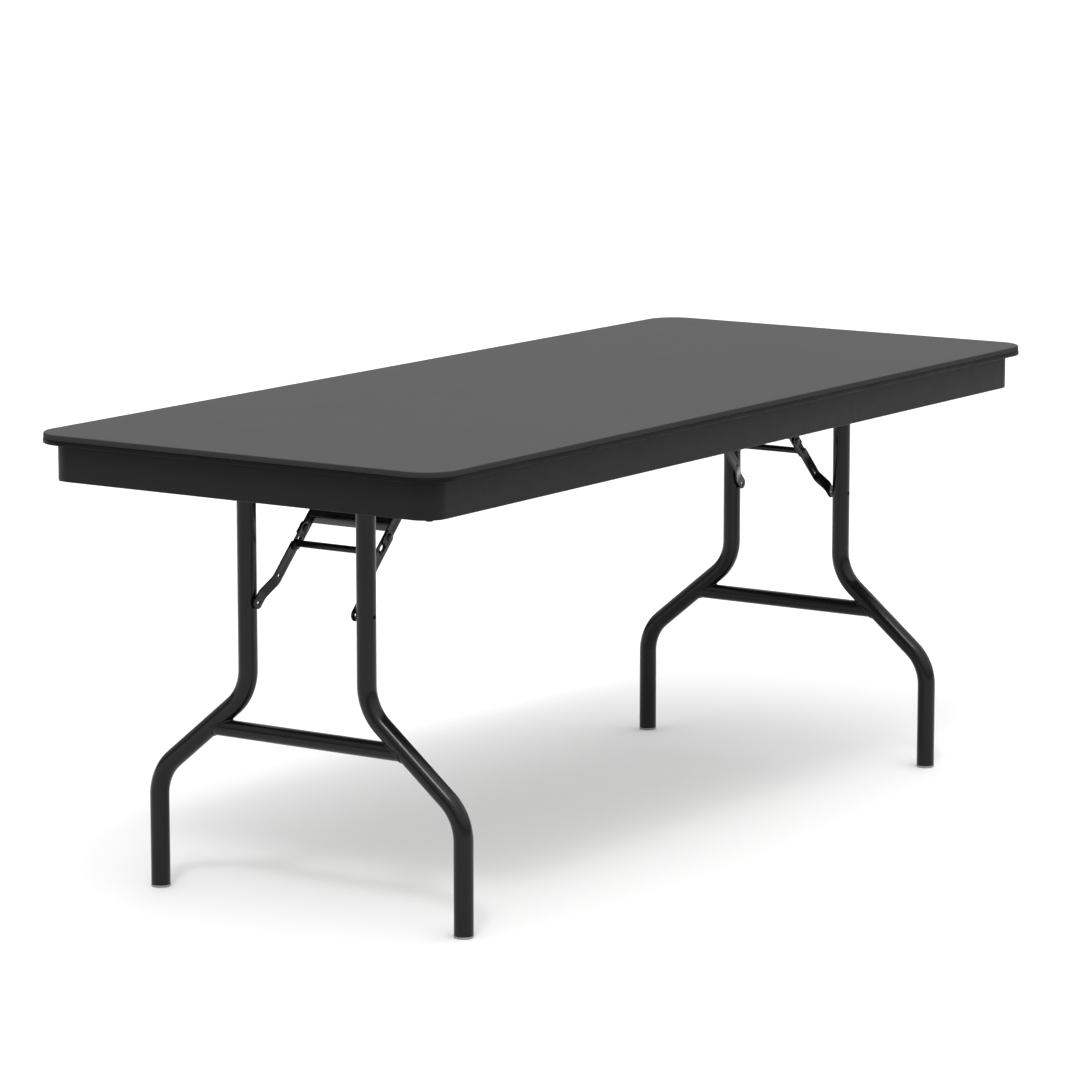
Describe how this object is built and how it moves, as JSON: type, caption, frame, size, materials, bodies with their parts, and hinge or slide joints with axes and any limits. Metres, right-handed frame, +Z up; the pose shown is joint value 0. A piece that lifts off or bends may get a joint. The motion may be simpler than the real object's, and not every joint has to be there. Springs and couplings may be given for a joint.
{
  "type": "folding table",
  "caption": "Rectangular folding table with a grey rounded-corner top, deep apron and two folding wishbone leg frames held open by locking braces.",
  "frame": {"origin": "on the floor under the middle of the table", "axes": "+X along the table, +Y across it, +Z up"},
  "size_m": [1.8302, 0.7634, 0.7407],
  "materials": {
    "top_plastic": "dark grey moulded plastic with a fine grain",
    "rim_plastic": "charcoal plastic edge band, satin",
    "core_wood": "plain fibreboard, sealed",
    "apron_steel": "matt charcoal powder coat, fine grain",
    "frame_steel": "black powder coat, satin",
    "zinc_steel": "bright zinc plate",
    "glide_plastic": "grey polyethylene",
    "bush_nylon": "natural nylon",
    "pad_rubber": "moulded black rubber"
  },
  "bodies": {
    "tabletop": {"top_panel": "top_plastic", "edge_band": "rim_plastic", "core_board": "core_wood", "apron": "apron_steel", "stack_pad_front_left": "pad_rubber", "stack_pad_front_right": "pad_rubber", "stack_pad_back_left": "pad_rubber", "stack_pad_back_right": "pad_rubber", "left_brace_bracket": "frame_steel", "left_brace_rod": "zinc_steel", "left_front_hinge_bracket": "frame_steel", "left_front_hinge_bush": "bush_nylon", "left_front_hinge_screw_1": "zinc_steel", "left_front_hinge_screw_2": "zinc_steel", "left_front_brace_screw": "zinc_steel", "left_back_hinge_bracket": "frame_steel", "left_back_hinge_bush": "bush_nylon", "left_back_hinge_screw_1": "zinc_steel", "left_back_hinge_screw_2": "zinc_steel", "left_back_brace_screw": "zinc_steel", "right_brace_bracket": "frame_steel", "right_brace_rod": "zinc_steel", "right_front_hinge_bracket": "frame_steel", "right_front_hinge_bush": "bush_nylon", "right_front_hinge_screw_1": "zinc_steel", "right_front_hinge_screw_2": "zinc_steel", "right_front_brace_screw": "zinc_steel", "right_back_hinge_bracket": "frame_steel", "right_back_hinge_bush": "bush_nylon", "right_back_hinge_screw_1": "zinc_steel", "right_back_hinge_screw_2": "zinc_steel", "right_back_brace_screw": "zinc_steel"},
    "left_leg_frame": {"left_pivot_shaft": "frame_steel", "left_stretcher": "frame_steel", "left_front_leg": "frame_steel", "left_front_leg_pivot_sleeve": "frame_steel", "left_front_glide": "glide_plastic", "left_back_leg": "frame_steel", "left_back_leg_pivot_sleeve": "frame_steel", "left_back_glide": "glide_plastic"},
    "left_upper_brace": {"left_upper_brace": "frame_steel", "left_front_knee_rivet": "frame_steel", "left_back_knee_rivet": "frame_steel"},
    "left_lower_arms": {"left_front_lower_arm": "frame_steel", "left_back_lower_arm": "frame_steel"},
    "left_lock_bar": {"left_lock_bar": "frame_steel"},
    "right_leg_frame": {"right_pivot_shaft": "frame_steel", "right_stretcher": "frame_steel", "right_front_leg": "frame_steel", "right_front_leg_pivot_sleeve": "frame_steel", "right_front_glide": "glide_plastic", "right_back_leg": "frame_steel", "right_back_leg_pivot_sleeve": "frame_steel", "right_back_glide": "glide_plastic"},
    "right_upper_brace": {"right_upper_brace": "frame_steel", "right_front_knee_rivet": "frame_steel", "right_back_knee_rivet": "frame_steel"},
    "right_lower_arms": {"right_front_lower_arm": "frame_steel", "right_back_lower_arm": "frame_steel"},
    "right_lock_bar": {"right_lock_bar": "frame_steel"}
  },
  "joints": [
    {"name": "left_leg_fold", "type": "hinge", "parent": "tabletop", "child": "left_leg_frame", "pos_m": [-0.719, 0, 0.6802], "axis": [0, -1, 0], "range_deg": [0, 90]},
    {"name": "left_upper_brace_fold", "type": "hinge", "parent": "tabletop", "child": "left_upper_brace", "pos_m": [-0.50439, 0, 0.69001], "axis": [0, 1, 0], "range_deg": [0, 45]},
    {"name": "left_knee_fold", "type": "hinge", "parent": "left_upper_brace", "child": "left_lower_arms", "pos_m": [-0.61506, 0, 0.57934], "axis": [0, -1, 0], "range_deg": [0, 176.2]},
    {"name": "left_lock_bar_lift", "type": "slide", "parent": "left_upper_brace", "child": "left_lock_bar", "axis": [0.7071, 0, 0.7071], "range_m": [0, 0.0105]},
    {"name": "right_leg_fold", "type": "hinge", "parent": "tabletop", "child": "right_leg_frame", "pos_m": [0.719, 0, 0.6802], "axis": [0, 1, 0], "range_deg": [0, 90]},
    {"name": "right_upper_brace_fold", "type": "hinge", "parent": "tabletop", "child": "right_upper_brace", "pos_m": [0.50439, 0, 0.69001], "axis": [0, -1, 0], "range_deg": [0, 45]},
    {"name": "right_knee_fold", "type": "hinge", "parent": "right_upper_brace", "child": "right_lower_arms", "pos_m": [0.61506, 0, 0.57934], "axis": [0, 1, 0], "range_deg": [0, 176.2]},
    {"name": "right_lock_bar_lift", "type": "slide", "parent": "right_upper_brace", "child": "right_lock_bar", "axis": [-0.7071, 0, 0.7071], "range_m": [0, 0.0105]}
  ],
  "couplings": [
    {"joint": "left_upper_brace_fold", "follows": "left_leg_fold", "ratio": 0.5},
    {"joint": "left_knee_fold", "follows": "left_leg_fold", "ratio": 1.9578},
    {"joint": "right_upper_brace_fold", "follows": "right_leg_fold", "ratio": 0.5},
    {"joint": "right_knee_fold", "follows": "right_leg_fold", "ratio": 1.9578}
  ]
}
